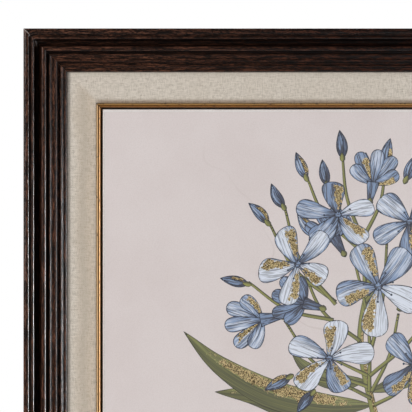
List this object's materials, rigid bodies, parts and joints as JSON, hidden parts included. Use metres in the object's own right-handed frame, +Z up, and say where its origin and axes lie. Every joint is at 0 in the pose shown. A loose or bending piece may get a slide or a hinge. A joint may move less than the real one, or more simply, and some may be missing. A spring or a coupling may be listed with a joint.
{
  "type": "framed botanical print",
  "caption": "Upright rectangular framed botanical print: reeded dark wood frame, linen-covered liner, gilt slip and a flat printed panel set in a narrow shadow gap.",
  "frame": {"origin": "middle notch of the sawtooth hanger on the wall plane, on the frame's vertical centre line", "axes": "+Z up, the picture faces -Y, +X to the viewer's right; the wall is the plane Y = 0"},
  "size_m": [0.66, 0.0282, 0.838],
  "materials": {
    "dark_wood": "dark stained open-grain wood, satin",
    "linen": "natural linen weave",
    "gilt": "gilded wood, rubbed antique gold over brown",
    "mount_card": "pale smooth board",
    "print_paper": "matt printed paper, pinkish grey ground",
    "hardboard": "brown hardboard, black on its front",
    "zinc_steel": "zinc plated",
    "bumper_rubber": "matt"
  },
  "bodies": {
    "root": {"moulding_top": "dark_wood", "moulding_bottom": "dark_wood", "moulding_left": "dark_wood", "moulding_right": "dark_wood", "linen_liner": "linen", "gilt_slip_top": "gilt", "gilt_slip_bottom": "gilt", "gilt_slip_left": "gilt", "gilt_slip_right": "gilt", "print_panel": "mount_card", "print_sheet": "print_paper", "backing_board": "hardboard", "retaining_point_left_1": "zinc_steel", "retaining_point_left_2": "zinc_steel", "retaining_point_left_3": "zinc_steel", "retaining_point_right_1": "zinc_steel", "retaining_point_right_2": "zinc_steel", "retaining_point_right_3": "zinc_steel", "retaining_point_bottom_1": "zinc_steel", "retaining_point_bottom_2": "zinc_steel", "retaining_point_top_1": "zinc_steel", "retaining_point_top_2": "zinc_steel", "sawtooth_hanger": "zinc_steel", "hanger_screw_left": "zinc_steel", "hanger_screw_right": "zinc_steel", "bumper_left": "bumper_rubber", "bumper_right": "bumper_rubber"}
  },
  "joints": []
}
